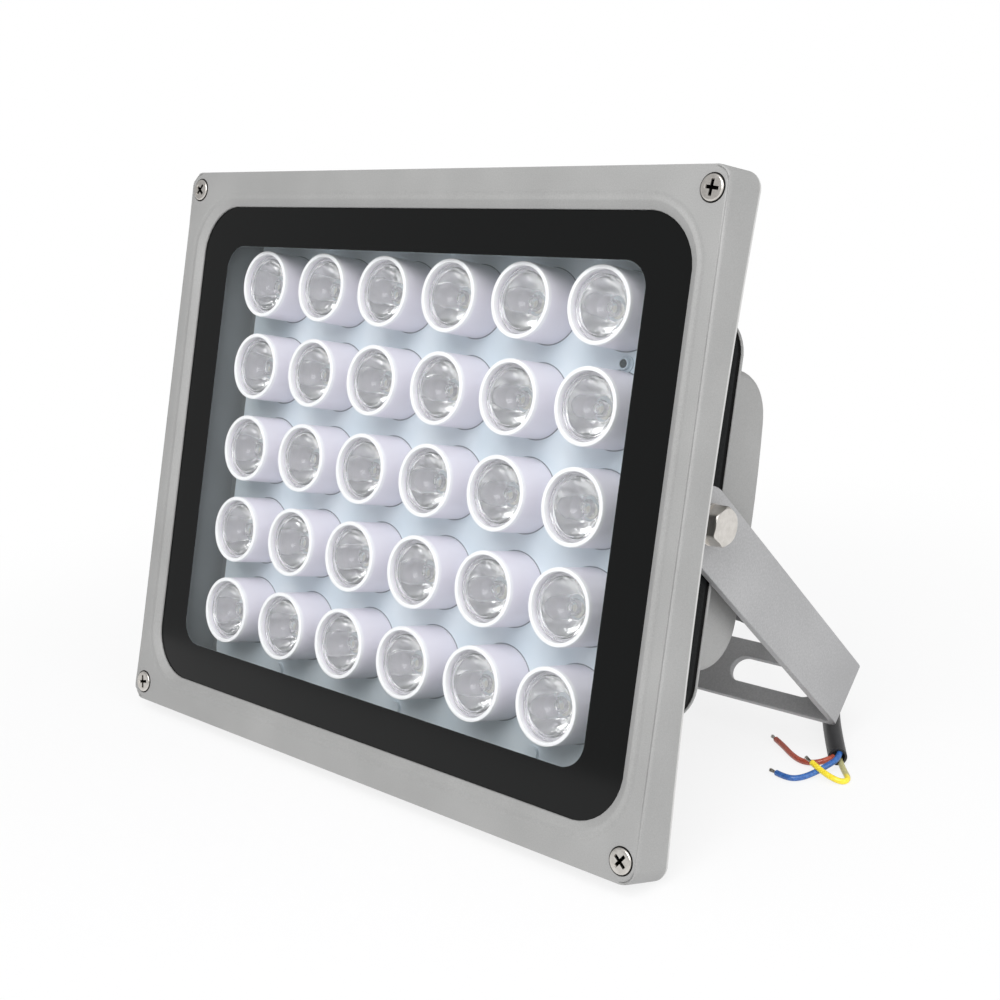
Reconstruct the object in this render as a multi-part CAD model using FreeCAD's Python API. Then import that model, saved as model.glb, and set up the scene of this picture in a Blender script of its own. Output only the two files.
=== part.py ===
import FreeCAD, Part
import math
import os

os.makedirs("parts", exist_ok=True)
V = FreeCAD.Vector

# LED flood light on a U bracket, in millimetres.
# The lamp head is drawn upright in its own frame: X to the right, Y from the front
# face back into the lamp, Z up, with the middle of the front face at the origin.
# It is then leaned back and stood on the floor, and the bracket is swung behind it.

# How the lamp stands
head_lean = 16.0              # degrees that the head leans back
bracket_drop = 46.0           # degrees from level down to the bracket's arms
pivot_depth = 25.5            # from the front face back to the swivel bolts
pivot_rise = 2.0              # bolts and driver cover sit above the head's middle

# Bezel frame, a die casting
bezel_half_width = 138.4
bezel_half_height = 113.4
bezel_depth = 16.5
bezel_draft = 1.1             # the skirt is wider at the back by this much each side
bezel_corner = 6.0
bezel_wall = 3.0
bezel_face = 5.5
bezel_edge_round = 1.2
side_hollow = 4.5             # rear edge of each side curves forward by this at its middle
frame_width = 11.0            # from the outside of a side to the window
rail_width = 14.0             # the same at the top and bottom
opening_corner = 20.0
lip_width = 2.6
lip_depth = 1.7

# Glass and its seal
glass_thickness = 3.0
glass_seat = 2.4
glass_margin = 3.0            # glass reaches this far behind the bezel's lip
glass_clearance = 0.4
seal_thickness = 1.9

# Corner screws
screw_margin_x = 6.1          # screw centres from the outside of the sides
screw_margin_z = 7.4          # and of the top and bottom
screw_radius = 2.0
screw_head_radius = 4.1
screw_head_height = 2.3
screw_clearance = 0.2
screw_length = 14.0
boss_radius = 6.0
boss_reach = 3.5              # bezel boss below its face
lug_radius = 4.6
lug_length = 6.0
lug_gap = 0.2

# Housing tray, the heat sink
tray_margin_x = 12.2          # the tray is narrower than the bezel by this each side
tray_margin_z = 10.9          # and lower by this
tray_corner = 12.0
tray_side_wall = 6.2
tray_end_wall = 4.0
tray_back = 30.3
tray_floor = 5.4
pad_radius = 9.0
pad_height = 0.5
pad_flat_depth = 6.0          # pads are cut off behind the tray's back over this depth
fin_count = 17
fin_pitch = 10.0
fin_thickness = 2.4
fin_height = 13.0
fin_length = 24.0
fin_start = 4.0               # gap between the driver cover's flange and the fins

# Board, emitters, holders and lenses
lens_columns = 6
lens_rows = 5
lens_margin_x = 26.0          # outer lens centres from the board's ends
lens_margin_z = 25.2          # and from its long edges
board_thickness = 1.6
board_margin_x = 5.0          # round the board inside the tray
board_margin_z = 5.5
board_corner = 6.0
board_gap = 0.2
emitter_radius = 3.2
emitter_height = 1.2
holder_gap = 7.5              # between holders in a column
holder_rim = 1.1
holder_front = 6.3
holder_base_radius = 6.2
lens_fit = 0.15
lens_flange = 3.6
lens_flange_width = 1.3
lens_step = 2.4               # the lens's face lies this far behind its flange
lens_foot_radius = 4.4
lens_foot_gap = 0.6
board_screw_inset = 4.5       # from the board's long edges
board_screw_radius = 1.5
board_screw_head = 2.8
sensor_radius = 2.0
sensor_collar = 2.9
sensor_height = 2.2
sensor_offset = 1.0           # outwards from the line of the last lenses

# Driver compartment at the back
gasket_thickness = 5.0
gasket_groove = 0.8
gasket_groove_width = 1.9
flange_width = 19.0           # flange above and below the cover's box
flange_corner = 15.0
flange_thickness = 2.2
cover_margin = 5.2            # the cover's box is narrower than the tray by this each side
cover_half_height = 51.0
cover_depth = 28.0            # from the flange to the edge of the crowned back
cover_crown = 1.8
cover_corner = 15.0
cover_edge_round = 2.5
cover_wall = 3.0
rib_count = 13
rib_pitch = 12.0
rib_thickness = 2.6
rib_height = 2.2
cover_screw_inset = 16.0      # outer screws from the ends of the cover's box
cover_screw_reach = 10.0      # screws above and below the cover's box
cover_screw_head = 3.8
cover_screw_head_height = 2.4
cover_screw_length = 9.0
driver_length = 124.0
driver_width = 58.0
driver_height = 20.0
driver_corner = 3.0
driver_foot = 9.0
driver_foot_width = 20.0
driver_foot_thickness = 1.6

# Cable gland, aimed straight away from the swivel axis
gland_inset = 25.0            # from the end of the cover's box
gland_angle = 25.0            # degrees below the head's own level
gland_boss_radius = 10.5
gland_boss_end = 52.0         # distances here are from the swivel axis
gland_hex = 20.0
gland_hex_height = 5.0
gland_collar = 7.6
gland_nut_radius = 9.4
gland_end = 73.0
gland_dome = 4.0
gland_bore = 5.4
cable_radius = 3.5
cable_gap = 0.4               # the free cable is drawn from this far outside the nut
cable_lead = 18.0             # straight on from the nut before it bends

# Swivel bolts
bolt_radius = 4.0
bolt_hex = 12.0
bolt_head = 5.3
bolt_grip = 7.6               # thread in the housing's side
spring_washer_radius = 7.0
spring_washer_height = 2.0
spring_washer_slit = 1.0
swivel_gap = 0.2
bolt_fit = 0.3

# Bracket, one folded strip
strip_thickness = 3.0
strip_width = 25.0
arm_clearance = 0.2           # between an arm and the pad that it turns on
arm_length = 126.6            # swivel axis to the outside of the base
bend_inner = 1.4
slot_inset = 33.3             # slot centres from the outsides of the arms
slot_length = 40.0
slot_width = 11.0
centre_hole_radius = 5.25

# Supply cable and its cores, in the finished frame
wire_radius = 1.1
strand_radius = 0.6
strand_length = 3.0
cable_route = (
    (95.0, 66.5, 44.8),
    (85.5, 85.0, 43.5),
    (67.5, 101.5, 36.5),
    (50.0, 112.5, 26.5),
    (38.0, 128.0, 18.0),
    (38.0, 147.5, 9.5),
    (51.5, 162.5, 4.0),
    (72.5, 162.5, 3.6),
    (87.0, 147.0, 3.6),
    (89.5, 126.0, 3.6),
    (98.5, 105.5, 3.6),
    (109.5, 86.0, 4.0),
    (122.6, 65.4, 4.9),
    (136.4, 47.0, 3.6),
)
wire_routes = {
    "wire_blue": (
        (136.6, 48.0, 4.9),
        (137.6, 43.6, 4.6),
        (135.6, 38.6, 3.0),
        (131.8, 33.8, 1.4),
        (126.4, 30.9, 1.2),
        (120.4, 30.5, 1.2),
        (117.3, 31.3, 1.2),
    ),
    "wire_brown": (
        (135.0, 46.6, 3.5),
        (133.6, 42.6, 2.8),
        (129.4, 40.2, 1.8),
        (124.2, 40.6, 1.2),
        (118.0, 43.8, 1.2),
        (112.0, 48.2, 1.2),
        (106.4, 51.6, 1.2),
    ),
    "wire_yellow": (
        (136.6, 47.9, 2.2),
        (141.6, 42.3, 1.7),
        (147.0, 37.4, 1.2),
        (146.0, 33.4, 1.3),
        (138.8, 33.4, 3.0),
        (132.6, 35.4, 4.8),
    ),
}


def rounded_wire(half_width, half_height, radius, depth, rise=0.0):
    """Rounded rectangle across the head at one depth."""
    corners = []
    for side_x, side_z, start in ((1, 1, 0), (-1, 1, 90), (-1, -1, 180), (1, -1, 270)):
        middle_x = side_x * (half_width - radius)
        middle_z = rise + side_z * (half_height - radius)
        points = []
        for step in (0, 45, 90):
            angle = math.radians(start + step)
            points.append(V(middle_x + radius * math.cos(angle), depth, middle_z + radius * math.sin(angle)))
        corners.append(points)
    edges = []
    for index, points in enumerate(corners):
        following = corners[(index + 1) % 4]
        edges.append(Part.Arc(*points).toShape())
        edges.append(Part.LineSegment(points[2], following[0]).toShape())
    return Part.Wire(edges)


def slab(half_width, half_height, radius, front, back, rise=0.0):
    """Rounded plate between two depths."""
    face = Part.Face(rounded_wire(half_width, half_height, radius, front, rise))
    return face.extrude(V(0, back - front, 0))


def tapered(front_size, back_size, front, back):
    """Rounded block whose outline changes from one depth to another."""
    wires = [rounded_wire(*front_size, front), rounded_wire(*back_size, back)]
    return Part.makeLoft(wires, True, True)


def turned(profile, centre):
    """Solid turned about the Y line through centre, from (radius, depth) pairs."""
    points = [V(radius, depth, 0) for radius, depth in profile]
    wire = Part.makePolygon(points + [points[0]])
    solid = Part.Face(wire).revolve(V(0, 0, 0), V(0, 1, 0), 360)
    solid.translate(centre)
    return solid


def hexagon(across_flats, length, turn=0.0):
    """Hexagonal prism along +Y from the origin."""
    corner = across_flats / math.sqrt(3)
    points = []
    for step in range(7):
        angle = math.radians(60 * step + turn)
        points.append(V(corner * math.cos(angle), 0, corner * math.sin(angle)))
    return Part.Face(Part.makePolygon(points)).extrude(V(0, length, 0))


def corner_places(half_width, half_height):
    """The four places that mirror each other about the head's middle."""
    places = []
    for side_x in (-1, 1):
        for side_z in (-1, 1):
            places.append((side_x * half_width, side_z * half_height))
    return places


def lens_places():
    """Row, column and place of every lens, from the top left."""
    places = []
    for row in range(lens_rows):
        for column in range(lens_columns):
            x = (column - (lens_columns - 1) / 2) * column_pitch
            z = ((lens_rows - 1) / 2 - row) * row_pitch
            places.append((row + 1, column + 1, x, z))
    return places


# Widths and heights that follow from the bezel, outside in
opening_half_width = bezel_half_width - frame_width
opening_half_height = bezel_half_height - rail_width
screw_half_width = bezel_half_width - screw_margin_x
screw_half_height = bezel_half_height - screw_margin_z
tray_half_width = bezel_half_width - tray_margin_x
tray_half_height = bezel_half_height - tray_margin_z
tray_inner_width = tray_half_width - tray_side_wall
tray_inner_height = tray_half_height - tray_end_wall
board_half_width = tray_inner_width - board_margin_x
board_half_height = tray_inner_height - board_margin_z
row_pitch = 2 * (board_half_height - lens_margin_z) / (lens_rows - 1)
column_pitch = 2 * (board_half_width - lens_margin_x) / (lens_columns - 1)
holder_radius = (row_pitch - holder_gap) / 2
cover_half_width = tray_half_width - cover_margin
gland_x = cover_half_width - gland_inset
cover_screw_half_width = cover_half_width - cover_screw_inset
flange_half_height = cover_half_height + flange_width
cover_screw_rise = cover_half_height + cover_screw_reach
arm_inner = tray_half_width + pad_height + arm_clearance
arm_outer = arm_inner + strip_thickness
slot_centre = arm_outer - slot_inset

# Depths that follow, front to back
glass_front = glass_seat + 0.1
glass_back = glass_front + glass_thickness
tray_front = glass_back + seal_thickness
tray_bed = tray_back - tray_floor
board_back = tray_bed - board_gap
board_front = board_back - board_thickness
flange_front = tray_back + gasket_thickness
flange_back = flange_front + flange_thickness
lug_front = bezel_face + boss_reach + lug_gap
swivel = V(0, pivot_depth, pivot_rise)


def bezel_frame():
    """Front frame with its skirt, window, corner bosses and countersinks."""
    rear_width = bezel_half_width + bezel_draft
    rear_height = bezel_half_height + bezel_draft
    body = tapered(
        (bezel_half_width, bezel_half_height, bezel_corner),
        (rear_width, rear_height, bezel_corner + bezel_draft),
        0, bezel_depth)
    rim = [edge for edge in body.Edges if edge.BoundBox.YMax < 0.01]
    body = body.makeFillet(bezel_edge_round, rim)
    inner_width = bezel_half_width - bezel_wall
    inner_height = bezel_half_height - bezel_wall
    hollow = slab(inner_width, inner_height, bezel_corner, bezel_face, bezel_depth + 1)
    for x, z in corner_places(screw_half_width, screw_half_height):
        hollow = hollow.cut(Part.makeCylinder(boss_radius, boss_reach, V(x, bezel_face, z), V(0, 1, 0)))
        relief = Part.makeCylinder(lug_radius + 0.4, bezel_depth, V(x, bezel_face + boss_reach, z), V(0, 1, 0))
        hollow = hollow.fuse(relief)
    body = body.cut(hollow)
    glass_width = opening_half_width + glass_margin + glass_clearance
    glass_height = opening_half_height + glass_margin + glass_clearance
    glass_corner = opening_corner + glass_margin
    body = body.cut(slab(glass_width, glass_height, glass_corner, glass_seat, bezel_face + 1))
    body = body.cut(slab(opening_half_width, opening_half_height, opening_corner, -1, bezel_face))
    slope = tapered(
        (opening_half_width + lip_width, opening_half_height + lip_width, opening_corner + lip_width),
        (opening_half_width, opening_half_height, opening_corner),
        0, lip_depth)
    body = body.cut(slope)
    for x, z in corner_places(screw_half_width, screw_half_height):
        sink = turned(countersink_profile(screw_clearance), V(x, 0, z))
        body = body.cut(sink)
    radius = (bezel_half_height ** 2 + side_hollow ** 2) / (2 * side_hollow)
    bow = Part.makeCylinder(
        radius, 4 * bezel_half_width,
        V(-2 * bezel_half_width, bezel_depth - side_hollow + radius, 0), V(1, 0, 0))
    middle = slab(inner_width - 2, rear_height + 5, bezel_corner, -1, bezel_depth + 1)
    return body.cut(bow.cut(middle)).removeSplitter()


def countersink_profile(clearance):
    """Section of a corner screw, or of its hole when clearance is added."""
    head = screw_head_radius + clearance
    shank = screw_radius + clearance
    start = -clearance
    cone = screw_head_height + clearance
    end = screw_length + clearance
    return ((0, start), (head, start), (head, 0.3), (shank, cone), (shank, end), (0, end))


def bezel_screws():
    """Four countersunk screws at the corners."""
    screws = []
    for x, z in corner_places(screw_half_width, screw_half_height):
        screws.append(turned(countersink_profile(0), V(x, 0.05, z)))
    return Part.makeCompound(screws)


def glass_pane():
    """Toughened pane behind the lip of the bezel."""
    half_width = opening_half_width + glass_margin
    half_height = opening_half_height + glass_margin
    return slab(half_width, half_height, opening_corner + glass_margin - glass_clearance, glass_front, glass_back)


def ring(outer, inner, front, back, rise=0.0):
    """Flat ring between two rounded outlines."""
    return slab(*outer, front, back, rise).cut(slab(*inner, front - 1, back + 1, rise))


def glass_gasket():
    """Silicone ring between the pane and the rim of the tray."""
    outer = (tray_half_width - 1, tray_half_height - 1, tray_corner - 1)
    inner = (tray_inner_width, tray_inner_height, tray_corner - tray_end_wall)
    return ring(outer, inner, glass_back, tray_front)


def tray_fins():
    """Two rows of upright fins above and below the driver cover."""
    fins = []
    for index in range(fin_count):
        x = (index - (fin_count - 1) / 2) * fin_pitch - fin_thickness / 2
        upper = pivot_rise + flange_half_height + fin_start
        lower = pivot_rise - flange_half_height - fin_start
        top = min(upper + fin_length, tray_half_height - 1)
        bottom = max(lower - fin_length, 1 - tray_half_height)
        for start, end in ((upper, top), (bottom, lower)):
            foot = V(x, tray_back - 1, start)
            fins.append(Part.makeBox(fin_thickness, fin_height + 1, end - start, foot))
    return fins


def led_housing():
    """Cast tray that carries the board, the bolts, the fins and the corner lugs."""
    body = slab(tray_half_width, tray_half_height, tray_corner, tray_front, tray_back)
    for x, z in corner_places(screw_half_width, screw_half_height):
        start = V(math.copysign(tray_half_width - tray_corner, x), lug_front,
                  math.copysign(tray_half_height - tray_corner, z))
        reach = V(x, lug_front, z) - start
        web = Part.makeBox(reach.Length, lug_length, 2 * lug_radius, V(0, 0, -lug_radius))
        turn = FreeCAD.Rotation(V(1, 0, 0), reach)
        web.Placement = FreeCAD.Placement(start, turn)
        lug = Part.makeCylinder(lug_radius, lug_length, V(x, lug_front, z), V(0, 1, 0))
        body = body.fuse([web, lug])
    body = body.fuse(tray_fins())
    for side in (-1, 1):
        pad = Part.makeCylinder(
            pad_radius, pad_height + 1,
            V(side * (tray_half_width - 1), pivot_depth, pivot_rise), V(side, 0, 0))
        behind = Part.makeBox(
            pad_flat_depth, 2 * pad_radius, 4 * pad_radius,
            V(side * tray_half_width - pad_flat_depth / 2, tray_back, pivot_rise - 2 * pad_radius))
        body = body.fuse(pad.cut(behind))
    room = slab(tray_inner_width, tray_inner_height, tray_corner - tray_end_wall, tray_front - 1, tray_bed)
    body = body.cut(room)
    for x, z in corner_places(screw_half_width, screw_half_height):
        hole = Part.makeCylinder(screw_radius + 0.05, screw_length + 4, V(x, 0, z), V(0, 1, 0))
        body = body.cut(hole)
    for side in (-1, 1):
        depth = bolt_grip + 0.4
        start = V(side * (tray_half_width + pad_height + 1), pivot_depth, pivot_rise)
        body = body.cut(Part.makeCylinder(bolt_radius + 0.05, depth + 1, start, V(-side, 0, 0)))
    for x, z in cover_screw_places():
        start = V(x, tray_back - tray_floor + 1.5, z)
        body = body.cut(Part.makeCylinder(screw_radius + 0.05, tray_floor, start, V(0, 1, 0)))
    for x, z in board_screw_places():
        start = V(x, tray_bed - 1, z)
        body = body.cut(Part.makeCylinder(board_screw_radius + 0.05, 4, start, V(0, 1, 0)))
    for x, z in driver_foot_places():
        start = V(x, tray_back + 1, z)
        body = body.cut(Part.makeCylinder(board_screw_radius + 0.05, 4.2, start, V(0, -1, 0)))
    return body.removeSplitter()


def board_screw_places():
    """Board screws stand along its long edges, behind the printed border."""
    places = []
    for column in (-2, 0, 2):
        for side in (-1, 1):
            places.append((column * column_pitch, side * (board_half_height - board_screw_inset)))
    return places


def sensor_place():
    """Light sensor between the first two lenses of the last column."""
    x = (lens_columns - 1) / 2 * column_pitch + sensor_offset
    z = (lens_rows - 2) / 2 * row_pitch
    return x, z


def led_board():
    """Metal-backed board with its corners rounded and its screw holes."""
    board = slab(board_half_width, board_half_height, board_corner, board_front, board_back)
    for x, z in board_screw_places():
        start = V(x, board_front - 1, z)
        board = board.cut(Part.makeCylinder(board_screw_radius + 0.2, board_thickness + 2, start, V(0, 1, 0)))
    return board


def board_screws():
    """Pan-head screws that hold the board to the tray."""
    screws = []
    for x, z in board_screw_places():
        head = Part.makeCylinder(board_screw_head, 1.5, V(x, board_front - 1.5, z), V(0, 1, 0))
        shank = Part.makeCylinder(board_screw_radius, 4.5, V(x, board_front - 0.5, z), V(0, 1, 0))
        screws.append(head.fuse(shank))
    return Part.makeCompound(screws)


def led_emitters():
    """One emitter on the board behind each lens."""
    emitters = []
    for row, column, x, z in lens_places():
        start = V(x, board_front - emitter_height, z)
        emitters.append(Part.makeCylinder(emitter_radius, emitter_height, start, V(0, 1, 0)))
    return Part.makeCompound(emitters)


def lens_holders():
    """White cups, one round each lens, standing on the board."""
    bore = holder_radius - holder_rim
    ledge = holder_front + lens_flange + 0.1
    profile = (
        (bore, holder_front), (holder_radius, holder_front), (holder_radius, board_front),
        (holder_base_radius, board_front), (bore - lens_flange_width, ledge), (bore, ledge))
    holders = []
    for row, column, x, z in lens_places():
        holders.append(turned(profile, V(x, 0, z)))
    return Part.makeCompound(holders)


def lens(x, z):
    """Clear moulded lens: flange, stepped face and a cone down to the emitter."""
    radius = holder_radius - holder_rim - lens_fit
    front = holder_front + 0.2
    seat = holder_front + lens_flange
    foot = board_front - emitter_height - lens_foot_gap
    inner = radius - lens_flange_width
    profile = (
        (0, front + lens_step),
        (inner, front + lens_step),
        (inner, front),
        (radius, front),
        (radius, seat),
        (inner - 0.3, seat),
        (lens_foot_radius, foot),
        (0, foot))
    return turned(profile, V(x, 0, z))


def light_sensor():
    """Small dark light sensor in its collar on the board."""
    x, z = sensor_place()
    collar = Part.makeCylinder(sensor_collar, 0.6, V(x, board_front - 0.6, z), V(0, 1, 0))
    eye = Part.makeCylinder(sensor_radius, sensor_height, V(x, board_front - sensor_height, z), V(0, 1, 0))
    return collar.fuse(eye)


def driver_gasket():
    """Black rubber ring between the tray and the driver cover, grooved at its back."""
    inner = (cover_half_width - cover_wall, cover_half_height - cover_wall, cover_corner - cover_wall)
    step = flange_front - gasket_groove_width
    outer = (tray_half_width, flange_half_height, flange_corner)
    waist = (tray_half_width - gasket_groove, flange_half_height - gasket_groove, flange_corner - gasket_groove)
    front = ring(outer, inner, tray_back, step, pivot_rise)
    back = ring(waist, inner, step, flange_front, pivot_rise)
    gasket = front.fuse(back)
    for x, z in cover_screw_places():
        hole = Part.makeCylinder(screw_radius + 0.2, gasket_thickness + 2, V(x, tray_back - 1, z), V(0, 1, 0))
        gasket = gasket.cut(hole)
    return gasket.removeSplitter()


def loaf(half_width, inset):
    """Loaf-shaped block: a crowned section drawn along the lamp's width."""
    bottom = pivot_rise - cover_half_height + inset
    top = pivot_rise + cover_half_height - inset
    radius = cover_corner - inset
    edge = flange_back + cover_depth - inset
    crown = edge + cover_crown
    slant = radius * (1 - math.cos(math.radians(45)))
    start = flange_front - inset
    points = [
        V(0, start, bottom), V(0, edge - radius, bottom), V(0, edge - slant, bottom + slant),
        V(0, edge, bottom + radius), V(0, crown, pivot_rise), V(0, edge, top - radius),
        V(0, edge - slant, top - slant), V(0, edge - radius, top), V(0, start, top)]
    edges = [
        Part.LineSegment(points[0], points[1]).toShape(),
        Part.Arc(points[1], points[2], points[3]).toShape(),
        Part.Arc(points[3], points[4], points[5]).toShape(),
        Part.Arc(points[5], points[6], points[7]).toShape(),
        Part.LineSegment(points[7], points[8]).toShape(),
        Part.LineSegment(points[8], points[0]).toShape()]
    face = Part.Face(Part.Wire(edges))
    face.translate(V(-half_width, 0, 0))
    return face.extrude(V(2 * half_width, 0, 0))


def gland_point(distance):
    """Point of the gland's axis at a distance from the swivel axis."""
    angle = math.radians(gland_angle)
    return V(gland_x, pivot_depth + distance * math.cos(angle), pivot_rise - distance * math.sin(angle))


def along_gland(shape, distance):
    """Stand a shape drawn along +Y on the gland's axis."""
    shape.Placement = FreeCAD.Placement(gland_point(distance), FreeCAD.Rotation(V(1, 0, 0), -gland_angle))
    return shape


def gland_cylinder(radius, start, end):
    """Cylinder on the gland's axis between two distances."""
    return along_gland(Part.makeCylinder(radius, end - start, V(0, 0, 0), V(0, 1, 0)), start)


def cover_screw_places():
    """Screws through the cover's flange, above and below its box."""
    places = []
    for x in (-cover_screw_half_width, 0, cover_screw_half_width):
        for side in (-1, 1):
            places.append((x, pivot_rise + side * cover_screw_rise))
    return places


def driver_cover():
    """Loaf-shaped cover with its flange, low ribs and cable boss."""
    box = loaf(cover_half_width, 0)
    ends = []
    for edge in box.Edges:
        bounds = edge.BoundBox
        if bounds.XLength < 0.01 and bounds.YMax > flange_front + 0.01:
            ends.append(edge)
    box = box.makeFillet(cover_edge_round, ends)
    flange = slab(tray_half_width, flange_half_height, flange_corner, flange_front, flange_back, pivot_rise)
    body = flange.fuse(box)
    ribs = []
    crown = flange_back + cover_depth + cover_crown
    length = 2 * (cover_half_height - cover_corner) - 6
    for index in range(rib_count):
        x = (index - (rib_count - 1) / 2) * rib_pitch - rib_thickness / 2
        start = V(x, crown - cover_crown - 1, pivot_rise - length / 2)
        ribs.append(Part.makeBox(rib_thickness, rib_height + cover_crown + 1, length, start))
    body = body.fuse(ribs)
    body = body.fuse(gland_cylinder(gland_boss_radius, gland_boss_end - 20, gland_boss_end))
    body = body.cut(loaf(cover_half_width - cover_wall, cover_wall))
    body = body.cut(gland_cylinder(gland_collar - 1.5, gland_boss_end - 30, gland_boss_end + 1))
    for x, z in cover_screw_places():
        start = V(x, flange_front - 1, z)
        body = body.cut(Part.makeCylinder(screw_radius + 0.2, flange_thickness + 2, start, V(0, 1, 0)))
    return body.removeSplitter()


def cover_screws():
    """Pan-head screws through the cover's flange and gasket."""
    screws = []
    for x, z in cover_screw_places():
        tip = flange_back - cover_screw_length
        top = flange_back + cover_screw_head_height
        profile = (
            (0, tip), (screw_radius, tip), (screw_radius, flange_back), (cover_screw_head, flange_back),
            (cover_screw_head, top - 1.0), (cover_screw_head - 1.0, top), (0, top))
        screws.append(turned(profile, V(x, 0, z)))
    return Part.makeCompound(screws)


def driver_foot_places():
    """Screws through the two feet of the driver."""
    reach = driver_length / 2 + driver_foot / 2
    return ((-reach, pivot_rise), (reach, pivot_rise))


def led_driver():
    """Potted power supply with a foot at each end, on the back of the tray."""
    case = Part.makeBox(
        driver_length, driver_height, driver_width,
        V(-driver_length / 2, tray_back, pivot_rise - driver_width / 2))
    upright = [edge for edge in case.Edges if edge.BoundBox.YLength > 1]
    case = case.makeFillet(driver_corner, upright)
    foot = Part.makeBox(
        driver_length + 2 * driver_foot, driver_foot_thickness, driver_foot_width,
        V(-driver_length / 2 - driver_foot, tray_back, pivot_rise - driver_foot_width / 2))
    case = case.fuse(foot)
    for x, z in driver_foot_places():
        start = V(x, tray_back - 1, z)
        hole = Part.makeCylinder(board_screw_radius + 0.2, driver_foot_thickness + 2, start, V(0, 1, 0))
        case = case.cut(hole)
    return case.removeSplitter()


def driver_screws():
    """Screws that hold the driver's feet."""
    screws = []
    top = tray_back + driver_foot_thickness
    for x, z in driver_foot_places():
        head = Part.makeCylinder(board_screw_head, 1.8, V(x, top, z), V(0, 1, 0))
        shank = Part.makeCylinder(board_screw_radius, driver_foot_thickness + 3, V(x, top, z), V(0, -1, 0))
        screws.append(head.fuse(shank))
    return Part.makeCompound(screws)


def gland_body():
    """Hexagonal foot of the gland with its threaded collar."""
    foot = along_gland(hexagon(gland_hex, gland_hex_height), gland_boss_end)
    inner = gland_cylinder(gland_collar - 1.6, gland_boss_end - 8, gland_boss_end + 1)
    collar = gland_cylinder(gland_collar, gland_boss_end + 1, gland_end - gland_dome - 4)
    body = foot.fuse([inner, collar])
    return body.cut(gland_cylinder(gland_bore, gland_boss_end - 9, gland_end))


def gland_nut():
    """Domed cap nut of the gland."""
    start = gland_boss_end + gland_hex_height + 0.2
    length = gland_end - start
    profile = (
        (gland_collar + 0.1, 0), (gland_nut_radius, 0), (gland_nut_radius, length - gland_dome),
        (gland_nut_radius - 1.2, length - 1.4), (gland_bore - 0.6, length), (gland_bore - 0.6, length - 2.6),
        (gland_collar + 0.1, length - gland_dome))
    nut = turned(profile, V(0, 0, 0))
    grips = []
    for step in range(12):
        angle = math.radians(30 * step)
        place = V((gland_nut_radius + 0.5) * math.cos(angle), -1, (gland_nut_radius + 0.5) * math.sin(angle))
        grips.append(Part.makeCylinder(1.0, length - gland_dome, place, V(0, 1, 0)))
    return along_gland(nut.cut(grips), start)


def gland_seal():
    """Rubber sleeve that the gland squeezes round the cable."""
    outer = gland_cylinder(gland_bore - 0.7, gland_boss_end + 3, gland_end - 0.2)
    return outer.cut(gland_cylinder(cable_radius + 0.05, gland_boss_end, gland_end + 1))


def cable_entry():
    """Stretch of the cable inside the gland and the driver cover."""
    return gland_cylinder(cable_radius, gland_boss_end - 14, gland_end)


def pivot_bolt(side):
    """Hexagon bolt that one arm turns on."""
    under = arm_outer + swivel_gap + spring_washer_height
    head = hexagon(bolt_hex, bolt_head, 12)
    crown = turned(
        ((0, 0), (bolt_hex / 2 + 1.2, 0), (bolt_hex / 2 + 1.2, bolt_head - 0.9), (bolt_hex / 2 - 0.4, bolt_head),
         (0, bolt_head)), V(0, 0, 0))
    bolt = head.common(crown)
    length = under - tray_half_width - pad_height + bolt_grip
    bolt = bolt.fuse(Part.makeCylinder(bolt_radius, length + 0.5, V(0, 0.5, 0), V(0, -1, 0)))
    bolt.Placement = FreeCAD.Placement(
        V(side * under, pivot_depth, pivot_rise), FreeCAD.Rotation(V(0, 1, 0), V(side, 0, 0)))
    return bolt.removeSplitter()


def spring_washer(side):
    """Split washer under the bolt's head."""
    start = V(side * (arm_outer + swivel_gap), pivot_depth, pivot_rise)
    outward = V(side, 0, 0)
    washer = Part.makeCylinder(spring_washer_radius, spring_washer_height, start, outward)
    washer = washer.cut(Part.makeCylinder(bolt_radius + 0.15, spring_washer_height, start, outward))
    slit = Part.makeBox(
        4 * spring_washer_height, 2 * spring_washer_radius, spring_washer_slit,
        start + V(-2 * spring_washer_height, 0, -spring_washer_slit / 2))
    return washer.cut(slit)


def bracket():
    """Folded strip: two round-ended arms, a slotted base, drawn with its arms along +Y."""
    half = strip_width / 2
    inner_end = arm_length - strip_thickness
    outer = folded_block(arm_outer, 0, arm_length, bend_inner + strip_thickness)
    inner = folded_block(arm_inner, -2 * half, inner_end, bend_inner)
    body = outer.cut(inner)
    for side in (-1, 1):
        eye = Part.makeCylinder(half, strip_thickness, V(side * arm_inner, 0, 0), V(side, 0, 0))
        hole = Part.makeCylinder(bolt_radius + bolt_fit, strip_thickness, V(side * arm_inner, 0, 0), V(side, 0, 0))
        body = body.fuse(eye).cut(hole)
        straight = slot_length - slot_width
        slot = Part.makeBox(
            straight, 4 * strip_thickness, slot_width,
            V(side * slot_centre - straight / 2, inner_end - 2, -slot_width / 2))
        rounds = []
        for end in (-straight / 2, straight / 2):
            place = V(side * slot_centre + end, inner_end - 2, 0)
            rounds.append(Part.makeCylinder(slot_width / 2, 4 * strip_thickness, place, V(0, 1, 0)))
        body = body.cut(slot.fuse(rounds))
    hole = Part.makeCylinder(centre_hole_radius, 4 * strip_thickness, V(0, inner_end - 2, 0), V(0, 1, 0))
    return body.cut(hole).removeSplitter()


def folded_block(half_width, start, end, radius):
    """Block as deep as the strip is wide, its two far edges rounded."""
    block = Part.makeBox(2 * half_width, end - start, strip_width, V(-half_width, start, -strip_width / 2))
    edges = []
    for edge in block.Edges:
        bounds = edge.BoundBox
        if bounds.ZLength > strip_width / 2 and bounds.YMin > end - 0.01:
            edges.append(edge)
    return block.makeFillet(radius, edges)


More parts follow.
